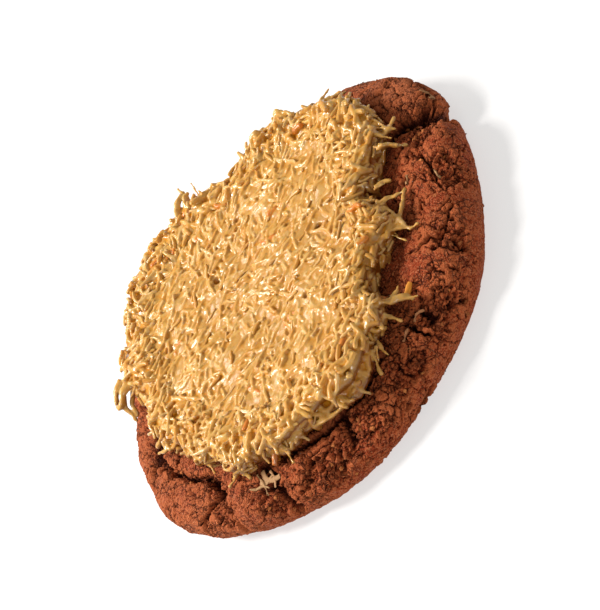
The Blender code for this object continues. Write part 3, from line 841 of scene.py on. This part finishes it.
def shredTree():
    tree, given = newTree("pastryShreds", "Skin", "Shreds", shredSizes)

    def chance(turn, low=-1.0, high=1.0):
        return randomValue(tree, plus(tree, given["Seed"], turn), low, high)

    def vector(x=0.0, y=0.0, z=0.0):
        return addNode(tree, "ShaderNodeCombineXYZ", {"X": x, "Y": y, "Z": z}).outputs[0]

    dots = addNode(tree, "GeometryNodeDistributePointsOnFaces", {
        "Mesh": given["Skin"], "Distance Min": given["Spacing"], "Density Max": given["Density"],
        "Seed": given["Seed"]}, distribute_method="POISSON")
    way = (math.cos(0.2), math.sin(0.2), 0.0)
    laid = addNode(tree, "FunctionNodeAxesToRotation", {
        "Primary Axis": dots.outputs["Normal"], "Secondary Axis": way}, primary_axis="Z", secondary_axis="X")
    swirl = addNode(tree, "ShaderNodeTexNoise", {"Scale": 90.0, "Detail": 1.0}).outputs[0]
    spin = times(tree, plus(tree, chance(1), chance(2)), given["Scatter"])
    spin = plus(tree, spin, times(tree, calc(tree, "SUBTRACT", swirl, 0.5), given["Swirl"]))
    lean = vector(y=times(tree, chance(3), given["Tilt"]), z=spin)
    leaned = addNode(tree, "FunctionNodeEulerToRotation", {0: lean})
    turned = addNode(tree, "FunctionNodeRotateRotation", {
        "Rotation": laid.outputs[0], "Rotate By": leaned.outputs[0]}, rotation_space="LOCAL")
    line = addNode(tree, "GeometryNodeCurvePrimitiveLine", {"Start": (-0.5, 0, 0), "End": (0.5, 0, 0)})
    knots = addNode(tree, "GeometryNodeResampleCurve", {"Curve": line.outputs[0], "Count": given["Knots"]})
    rods = addNode(tree, "GeometryNodeInstanceOnPoints", {
        "Points": withPick(tree, dots, chance(4, 0.0)), "Instance": knots.outputs[0],
        "Rotation": turned.outputs[0], "Scale": vector(chance(5, given["Short"], given["Long"]), 1.0, 1.0)})
    raised = addNode(tree, "GeometryNodeTranslateInstances", {
        "Instances": rods.outputs[0], "Translation": vector(z=chance(6, given["Sink"], given["Rise"]))})
    real = addNode(tree, "GeometryNodeRealizeInstances", {"Geometry": raised.outputs[0]})
    pick = readValue(tree, "pick")
    place = tree.nodes.new("GeometryNodeInputPosition").outputs[0]
    drift = addNode(tree, "ShaderNodeTexNoise", {
        "Vector": place, "W": times(tree, pick, 90.0), "Scale": 300.0, "Detail": 1.0}, noise_dimensions="4D")
    bent = pushed(tree, real.outputs[0], drift.outputs["Color"], given["Bend"], (1.0, 1.0, 0.25))

    # thinner at both ends, uneven along, and some thicker than others
    along = tree.nodes.new("GeometryNodeSplineParameter").outputs["Factor"]
    endward = calc(tree, "ABSOLUTE", calc(tree, "SUBTRACT", times(tree, along, 2.0), 1.0))
    taper = calc(tree, "SUBTRACT", 1.0, times(tree, calc(tree, "POWER", endward, 8.0), 0.25))
    uneven = plus(tree, 0.75, times(tree, noiseAt(tree, place, 700.0, 0.0).outputs[0], 0.5))
    thick = times(tree, times(tree, given["Radius"], taper), uneven)
    thick = times(tree, thick, plus(tree, 0.72, times(tree, pick, 0.5)))
    sized = addNode(tree, "GeometryNodeSetCurveRadius", {"Curve": bent, "Radius": thick})
    disc = addNode(tree, "GeometryNodeCurvePrimitiveCircle", {"Resolution": given["Sides"], "Radius": 1.0})
    radius = tree.nodes.new("GeometryNodeInputRadius").outputs[0]
    tube = addNode(tree, "GeometryNodeCurveToMesh", {
        "Curve": sized.outputs[0], "Profile Curve": disc.outputs[0], "Scale": radius, "Fill Caps": True})
    return endTree(tree, tube.outputs[0], given["Finish"])


def grownShreds(name, skins, tree, finish, **finer):
    where, seed, lengths, turns = shreds[name]
    sizes = {key: size * mm for key, size in zip(
        ("Spacing", "Radius", "Short", "Long", "Sink", "Rise", "Bend"), lengths)}
    sizes.update(zip(("Scatter", "Tilt", "Swirl"), turns))
    return grownOn(name, skins[where], tree, finish, Seed=seed, **sizes, **finer)


# Single shreds that stand out, in mm from the middle of the base: thickness, then the way of each.
tufts = (
    # right side
    (1.1, (34.1, -9.9, 16.2), (35.4, -11.6, 15.0), (36.3, -12.4, 13.6), (37.1, -13.7, 12.7)),
    (0.9, (33.5, -9.5, 16.0), (35.9, -12.3, 14.4), (36.5, -14.6, 13.2)),
    (1.0, (36.0, -7.2, 14.8), (39.3, -6.4, 14.0), (41.0, -6.0, 13.8)),
    (0.8, (35.4, 13.6, 18.2), (37.7, 14.3, 18.0), (40.2, 15.4, 17.2)),
    (1.0, (36.6, 1.9, 16.6), (38.2, -1.6, 15.5), (38.4, -4.8, 15.0), (37.9, -7.6, 14.0)),
    (0.9, (35.8, 0.4, 16.8), (37.2, -4.6, 15.6), (38.4, -7.0, 14.2), (38.9, -8.2, 13.4)),
    (0.9, (35.0, -1.6, 16.8), (36.0, -6.6, 15.6), (36.8, -9.4, 14.0)),
    (0.9, (36.6, 5.2, 17.0), (39.6, 3.0, 16.4), (39.9, -0.2, 15.6)),
    (0.9, (36.4, 8.0, 17.2), (39.9, 7.6, 16.8), (41.2, 8.8, 16.4)),
    # peaks on the far right edge
    (1.6, (22.2, 26.5, 17.6), (23.4, 28.2, 19.0), (25.0, 28.0, 19.2), (25.6, 26.8, 18.3)),
    (1.2, (23.6, 25.6, 17.6), (24.4, 27.4, 18.8), (25.2, 27.4, 18.6)),
    (1.4, (29.4, 22.6, 17.8), (30.2, 24.8, 19.1), (31.4, 23.4, 18.8), (32.4, 21.2, 18.0)),
    (1.2, (30.6, 21.6, 17.8), (31.0, 23.6, 18.6), (31.2, 24.4, 18.6)),
    # peaks on the far edge
    (1.8, (1.4, 37.6, 17.8), (4.0, 39.8, 19.2), (6.6, 40.9, 19.4)),
    (1.4, (4.6, 37.4, 17.8), (6.4, 39.6, 19.0), (7.8, 39.9, 18.8)),
    (0.8, (6.2, 38.9, 18.4), (7.0, 40.9, 19.2), (7.4, 42.6, 19.9)),
    (0.6, (7.9, 35.6, 17.6), (9.0, 37.8, 18.8), (9.8, 39.9, 19.4)),
    # left overhang
    (1.6, (-31.5, 23.5, 16.8), (-34.4, 23.4, 17.2), (-36.6, 22.6, 16.6), (-37.6, 24.4, 16.0)),
    (1.1, (-34.9, 24.5, 16.6), (-36.9, 22.4, 15.6), (-37.3, 20.9, 14.2), (-37.8, 19.7, 13.0)),
    (1.0, (-33.0, 23.6, 15.6), (-35.6, 21.4, 14.8), (-36.8, 20.0, 13.4)),
    (1.0, (-31.0, 25.0, 15.8), (-33.0, 21.0, 15.0), (-31.6, 18.8, 15.2)),
    (1.5, (-32.6, 27.6, 16.6), (-35.4, 27.2, 16.4), (-37.4, 25.6, 15.6)),
    # left side
    (1.4, (-35.4, 4.4, 15.4), (-37.8, 6.0, 14.6), (-39.6, 7.0, 13.6)),
    (1.1, (-35.6, 1.6, 14.8), (-38.4, 3.0, 13.9), (-40.6, 6.6, 13.0)),
    (1.4, (-35.2, 6.8, 15.6), (-37.9, 4.6, 14.6), (-38.8, 3.0, 13.6)),
    (0.9, (-34.6, -7.1, 15.2), (-36.0, -10.8, 14.4), (-36.4, -13.4, 13.6), (-37.0, -14.8, 12.8)),
    (1.0, (-34.8, 10.6, 15.6), (-37.4, 9.8, 15.0), (-38.6, 11.2, 14.4)),
    # near left
    (1.0, (-33.0, -22.9, 13.8), (-35.4, -21.7, 12.9), (-37.6, -21.0, 12.4)),
    (1.1, (-33.0, -22.2, 14.8), (-33.4, -24.4, 13.8), (-33.8, -26.4, 12.8)),
    (0.9, (-25.1, -31.2, 14.6), (-25.8, -33.8, 13.4), (-26.6, -35.4, 12.4)),
    (1.1, (-18.6, -37.4, 13.8), (-15.6, -39.6, 13.5), (-12.4, -41.1, 13.1), (-9.2, -42.2, 12.6)),
    # near side
    (1.0, (5.0, -30.2, 17.2), (6.7, -35.8, 16.2), (8.3, -38.5, 15.0), (10.7, -40.4, 13.4),
     (12.4, -42.2, 12.2)),
    (1.0, (3.0, -30.6, 17.2), (3.4, -35.7, 16.6), (3.9, -38.4, 15.4)),
    (0.9, (7.2, -36.8, 15.5), (10.2, -39.6, 14.0), (11.6, -40.3, 13.0), (11.4, -41.6, 12.2)),
    (0.9, (7.2, -33.0, 16.6), (5.6, -37.8, 15.6), (3.6, -41.2, 14.4)),
    (0.8, (5.0, -36.7, 15.2), (6.2, -39.9, 13.9), (6.8, -42.6, 12.6)),
    (0.9, (8.4, -36.6, 13.9), (10.8, -36.9, 13.0), (12.2, -36.0, 12.9)),
    (0.9, (-0.6, -40.9, 13.6), (-2.6, -42.8, 12.6), (-3.8, -44.6, 11.8)),
    (0.6, (0.6, -40.4, 13.2), (0.2, -42.1, 12.6), (0.1, -43.6, 12.0)),
    # near right
    (1.0, (22.5, -18.6, 15.4), (25.7, -19.1, 14.2), (27.4, -20.2, 13.4), (29.0, -21.4, 12.9)),
    (1.0, (22.4, -26.1, 13.9), (26.3, -23.4, 13.3), (29.2, -20.9, 13.0)),
    (0.9, (22.2, -18.3, 16.2), (23.9, -22.8, 15.0), (23.5, -25.8, 14.0), (22.9, -28.4, 13.2)),
    (0.9, (20.3, -24.4, 14.6), (22.4, -27.3, 13.4), (23.2, -29.4, 12.9), (24.4, -30.9, 12.7)),
    (0.35, (20.0, -26.4, 13.8), (20.4, -28.6, 13.0), (20.6, -30.6, 12.8)),
    (1.1, (26.6, -14.8, 15.2), (28.6, -15.6, 14.2), (29.4, -16.4, 13.6)),
)


# Scraps lying on the crust, in mm: thickness, draw of the colour, then the way and its height over the crust.
scraps = (
    (0.55, 0.5, (34.4, -25.6, 0.1), (34.9, -23.9, 0.3), (35.2, -22.8, 0.1)),
    (0.50, 0.3, (30.2, -19.7, 0.1), (31.1, -18.0, 0.2), (31.8, -17.8, 0.1)),
    (0.60, 0.2, (48.2, -5.9, 0.1), (48.7, -4.4, 0.2), (48.6, -2.9, 0.1)),
    (0.50, 0.0, (3.6, -43.6, 0.1), (4.8, -43.1, 0.3), (6.1, -42.7, 0.1)),
    (0.50, 0.0, (7.9, -43.1, 0.1), (9.2, -42.7, 0.3), (10.7, -43.3, 0.1)),
    (1.45, 1.0, (11.6, -38.2, 0.5), (13.9, -37.6, 0.6)),
    (0.50, 0.6, (-35.8, -25.6, 0.2), (-34.9, -27.0, 0.3), (-33.8, -28.2, 0.2), (-33.4, -29.6, 0.2)),
    (0.60, 0.6, (-32.6, -25.6, 0.4), (-33.2, -27.8, 0.3), (-34.6, -29.8, 0.2)),
)
# Smears of cream on the crust, likewise.
smears = (
    (1.3, 0.35, (-31.6, -26.4, 0.6), (-32.4, -28.2, 0.3), (-31.6, -29.8, 0.1), (-30.2, -31.0, 0.0)),
    (0.9, 0.45, (-33.6, -27.2, 0.2), (-32.6, -28.8, 0.5), (-31.0, -29.2, 0.2)),
    (0.8, 0.30, (-30.6, -28.4, 0.6), (-31.2, -30.0, 0.3), (-32.6, -31.0, 0.1)),
)


def roughened(mesh, steps):
    # push the points in and out along their normals, but not underneath: pairs of size and amount
    points, normals = pointsOf(mesh), normalsOf(mesh)
    push = sum(softNoise(points, size, 80 + turn) * amount for turn, (size, amount) in enumerate(steps))
    movePoints(mesh, points + normals * (push * smoothStep(normals[:, 2], -0.9, -0.5))[:, None])


def rodsAlong(name, ways, beside=2):
    guide = bpy.data.curves.new(name, "CURVE")
    guide.dimensions = "3D"
    guide.bevel_depth = 0.40 * mm
    guide.bevel_resolution = 3
    guide.use_fill_caps = True
    guide.resolution_u = 6
    draw = np.random.default_rng(15)
    bundles = list(ways)
    for thick, *way in ways:
        for turn in range(beside):  # shorter ones beside its root
            shift = draw.uniform(-0.9, 0.9, 3) * (1, 1, 0.5)
            part = [np.array(place) + shift * (1 - 0.3 * step) for step, place in enumerate(way[:-1])]
            bundles.append((thick * draw.uniform(0.6, 0.9), *part))
    for thick, *way in bundles:
        line = guide.splines.new("BEZIER")
        line.bezier_points.add(len(way) - 1)
        for turn, (knot, place) in enumerate(zip(line.bezier_points, way)):
            knot.co = Vector(place) * mm
            knot.handle_left_type = knot.handle_right_type = "AUTO"
            knot.radius = thick * (0.8 if turn == len(way) - 1 else 1.05)
    rods = linked(name, guide)
    mesh = bpy.data.meshes.new_from_object(rods.evaluated_get(bpy.context.evaluated_depsgraph_get()))
    bpy.data.objects.remove(rods)
    roughened(mesh, ((1.6 * mm, 0.30 * mm), (0.7 * mm, 0.12 * mm)))
    storeValues(mesh, "pick", 0.5 + 0.4 * softNoise(pointsOf(mesh), 2 * mm, 90))
    return linked(name, mesh)


def clearedOfCrust(piece):
    # lift what would lie in the crust onto it, and keep all under the highest point
    points = pointsOf(piece.data)
    angle, radius = np.arctan2(points[:, 1], points[:, 0]), np.hypot(points[:, 0], points[:, 1])
    over = radius < cookieRadius(angle) - 0.3 * mm
    floor = crustHeight(angle, radius) + spread["liftGap"]
    points[:, 2] = np.where(over, np.maximum(points[:, 2], floor), points[:, 2])
    points[:, 2] = np.minimum(points[:, 2], spread["highest"])
    movePoints(piece.data, points)


def searchable(mesh):
    faces = [tuple(face.vertices) for face in mesh.polygons]
    return BVHTree.FromPolygons([point.co for point in mesh.vertices], faces), faces


def lyingOn(ground, name, ways, flatness):
    # rods that follow the ground's ups and downs
    surface = searchable(ground)[0]
    pieces = []
    for turn, (thick, pick, *way) in enumerate(ways):
        piece = rodsAlong(name + str(turn), ((thick, *way),), beside=0)
        points = pointsOf(piece.data)
        for point in points:
            hit = surface.ray_cast(Vector((point[0], point[1], 0.05)), Vector((0, 0, -1)))[0]
            smooth = crustHeight(np.arctan2(point[1], point[0]), np.hypot(point[0], point[1]))
            point[2] = point[2] * flatness + max(hit.z if hit else 0, smooth - 0.9 * mm)
        movePoints(piece.data, points)
        storeValues(piece.data, "pick", np.full(len(points), pick))
        pieces.append(piece)
    return joined(name, pieces)


def takePicks(mesh, source):
    # each point takes the draw of the shred that it lies nearest to
    picks = np.empty(len(source.vertices), dtype=np.float32)
    source.attributes["pick"].data.foreach_get("value", picks)
    surface, faces = searchable(source)
    found = [surface.find_nearest(point.co)[2] for point in mesh.vertices]
    storeValues(mesh, "pick", picks[[faces[place][0] for place in found]])


def fused(piece):
    # one skin over everything in the piece, with soft joins as if coated in cream
    loose = piece.data.copy()
    melt = piece.modifiers.new("melt", "REMESH")
    melt.mode = "VOXEL"
    melt.voxel_size = spread["voxel"] * 1
    soft = piece.modifiers.new("soft", "SMOOTH")
    soft.factor = 0.5
    soft.iterations = 2
    applied(piece)
    print(piece.name, "fused to", len(piece.data.polygons), "faces")
    roughened(piece.data, ((1.6 * mm, 0.08 * mm), (0.6 * mm, 0.05 * mm)))
    thinned(piece, spread["triangles"])
    takePicks(piece.data, loose)
    bpy.data.meshes.remove(loose)
    piece.data.shade_smooth()
    markHollows(piece.data, spread["hollowRounds"])
    return piece


creamLook = {
    "cream": (0.48, 0.273, 0.070),
    "creamTan": (0.46, 0.238, 0.050),
    "pale": (0.57, 0.355, 0.122),
    "gold": (0.57, 0.320, 0.078),
    "tan": (0.55, 0.272, 0.052),
    "toasted": (0.54, 0.18, 0.022),
    # painted shade in the hollows between shreds
    "gap": (0.57, 0.225, 0.005),
    # painted shade low down, with some of the wet cream's own darker colour
    "wetCreamAndShade": (0.30, 0.150, 0.052),
    "rippleDepth": 0.25 * mm,
    "shader": {
        "Roughness": 0.36, "Specular IOR Level": 0.2, "Subsurface Weight": 0.45, "Coat Weight": 0.46,
        "Subsurface Radius": (1.0, 0.6, 0.2), "Subsurface Scale": 0.7 * mm, "Coat Roughness": 0.12,
    },
}


def creamFinish():
    look = creamLook
    material, tree, shader = newMaterial("pistachioCream", look["shader"])
    where = tree.nodes.new("ShaderNodeTexCoord").outputs["Object"]
    height = addNode(tree, "ShaderNodeSeparateXYZ", {0: where}).outputs[2]
    pick = stored(tree, "pick")
    shred = mixColours(tree, ramped(tree, pick, 0.15, 0.5), look["pale"], look["gold"])
    shred = mixColours(tree, ramped(tree, pick, 0.6, 0.95), shred, look["tan"])
    shred = mixColours(tree, ramped(tree, pick, 0.988, 0.992), shred, look["toasted"])
    broad = noiseAt(tree, where, 160.0, 3.0).outputs[0]
    colour = mixColours(tree, ramped(tree, broad, 0.38, 0.62), look["creamTan"], look["cream"])
    colour = mixColours(tree, ramped(tree, pick, 0.0, 0.04), colour, shred)
    # painted shade: deeper, more saturated colour in the hollows between shreds
    colour = mixColours(tree, ramped(tree, stored(tree, "hollow"), -0.05, 0.25), colour, look["gap"])
    # painted shade, with some of the thicker wet cream's own darker colour: darker low down and on steep
    # sides, less so on the strands
    normal = tree.nodes.new("ShaderNodeNewGeometry").outputs["Normal"]
    steep = ramped(tree, addNode(tree, "ShaderNodeSeparateXYZ", {0: normal}).outputs[2], 0.8, -0.1)
    low = ramped(tree, height, 18.2 * mm, 15.4 * mm)
    shade = times(tree, low, plus(tree, 0.2, times(tree, steep, 0.8)))
    strands = calc(tree, "SUBTRACT", 1.0, times(tree, ramped(tree, pick, 0.0, 0.1), 0.22))
    colour = mixColours(tree, times(tree, shade, strands), colour, look["wetCreamAndShade"], "MULTIPLY")
    coloured(tree, shader, colour, noiseAt(tree, where, 1000.0, 3.0).outputs[0], 0.4, look["rippleDepth"])
    return material


driedLook = {
    "brown": (0.32, 0.135, 0.055),
    "pale": (0.39, 0.225, 0.10),
    "toasted": (0.62, 0.24, 0.030),
    "shader": {"Roughness": 0.7, "Specular IOR Level": 0.2},
}


def driedFinish():
    look = driedLook
    material, tree, shader = newMaterial("driedCream", look["shader"])
    pick = stored(tree, "pick")
    colour = mixColours(tree, ramped(tree, pick, 0.0, 0.5), look["brown"], look["pale"])
    coloured(tree, shader, mixColours(tree, ramped(tree, pick, 0.7, 1.0), colour, look["toasted"]))
    return material


view = {"height": 33, "distance": 0.6, "roll": -59.2, "aim": (-0.0004, 0.0002, 0.0063), "lens": 177.05}
studio = {
    "air": (1, 0.94, 0.85, 1),
    "airStrength": 0.40,
    "aim": (0, 0, 0.01),
    # each lamp: place, width, watts, colour
    "lamps": {
        "keyLight": ((-0.42, 0.36, 0.66), 0.34, 12.2, (1.0, 0.97, 0.94)),
        "fillLight": ((-0.2, -0.8, 0.35), 0.2, 1.8, (1, 1, 1)),
        "backLight": ((-0.15, 0.75, 0.50), 0.22, 1.0, (1, 1, 1)),
    },
    "floorReach": 1.5,
    "floor": {
        "Base Color": (0.35, 0.35, 0.35, 1), "Roughness": 0.9,
        "Emission Color": (1, 1, 1, 1), "Emission Strength": 0.60,
    },
}


def lookFrom(thing, place, aim, roll=0.0):
    way = Vector(aim) - Vector(place)
    turn = way.to_track_quat("-Z", "Y").to_matrix() @ Matrix.Rotation(math.radians(roll), 3, "Z")
    thing.matrix_world = Matrix.Translation(place) @ turn.to_4x4()


def makeCamera():
    camera = linked("photoCamera", bpy.data.cameras.new("photoCamera"))
    camera.data.lens = view["lens"]
    camera.data.sensor_fit = "VERTICAL"
    camera.data.sensor_height = 36
    rise = math.radians(view["height"])
    aim = Vector(view["aim"])
    lookFrom(camera, aim + Vector((0, -math.cos(rise), math.sin(rise))) * view["distance"], aim, view["roll"])
    bpy.context.scene.camera = camera


def makeStudio():
    scene = bpy.context.scene
    scene.view_settings.view_transform = "Standard"
    scene.world = bpy.data.worlds.new("studio")
    scene.world.use_nodes = True
    air = scene.world.node_tree.nodes["Background"].inputs
    air["Color"].default_value = studio["air"]
    air["Strength"].default_value = studio["airStrength"]
    for name, (place, width, watts, colour) in studio["lamps"].items():
        lamp = linked(name, bpy.data.lights.new(name, "AREA"))
        lamp.data.shape = "DISK"
        lamp.data.size = width
        lamp.data.energy = watts
        lamp.data.color = colour
        lookFrom(lamp, place, studio["aim"])
    form = bmesh.new()
    bmesh.ops.create_grid(form, x_segments=1, y_segments=1, size=studio["floorReach"])
    floor = linked("floor", meshFrom("floor", form))
    floor.data.materials.append(newMaterial("paleFloor", studio["floor"])[0])


def placed(piece, node):
    # kept inside the part's box, it rides the part's one body and shows in place of that node
    movePoints(piece.data, np.clip(pointsOf(piece.data), *np.array(cadBox)))
    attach(piece, "root")
    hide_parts(node)
    print(piece.name, "ready", len(piece.data.polygons), "faces")


makeCamera()
makeStudio()
print("studio ready")

cookieBody = makeCookie()
cookieBody.data.materials.append(cookieFinish())
cookieCrumbs = grownOn("cookieCrumbs", cookieBody.data, crumbTree(), crumbFinish(), **crumbSizes)
cookieCrumbs.data.shade_smooth()
placed(cookieBody, "cookie")
placed(cookieCrumbs, "cookie")

cream = creamFinish()
tree = shredTree()
middleCore = makeCore("creamMiddle")
edgeCore = makeCore("creamEdge")
skins = {
    "middle": skinWhere(middleCore.data, lambda angle, share, slope: (share < 0.84) & (slope > 0.85)),
    "edge": skinWhere(edgeCore.data, lambda angle, share, slope: (share >= 0.76) & (slope > -0.6) & (
        (angle < 222) | (angle > 275) | (slope > 0.7))),
    "wall": skinWhere(edgeCore.data, lambda angle, share, slope: (share >= 0.76) & (slope > -0.1) & (
        slope < 0.8) & (angle > 215) & (angle < 280)),
}
middleMass = joined("middleMass", [middleCore] + [
    grownShreds(name, skins, tree, cream) for name in ("middleFlakes", "middleShreds")])
edgeMass = joined("edgeMass", [edgeCore] + [
    grownShreds(name, skins, tree, cream) for name in ("edgeFlakes", "edgeShreds", "wallShreds")
] + [rodsAlong("standingShreds", tufts)])
for mass in (middleMass, edgeMass):
    clearedOfCrust(mass)
    fused(mass)

looseShreds = joined("looseShreds", [
    grownShreds(name, skins, tree, cream, Sides=7, Knots=9) for name in ("looseMiddle", "looseEdge")])
clearedOfCrust(looseShreds)
looseShreds.data.shade_smooth()
strayScraps = joined("strayScraps", [
    lyingOn(cookieBody.data, "scraps", scraps, 1.0),
    lyingOn(cookieBody.data, "smears", smears, 0.35),
])
strayScraps.data.shade_smooth()
dried = driedFinish()
for piece, finish in ((middleMass, cream), (edgeMass, cream), (looseShreds, cream), (strayScraps, dried)):
    piece.data.materials.clear()
    piece.data.materials.append(finish)
    placed(piece, "spread")
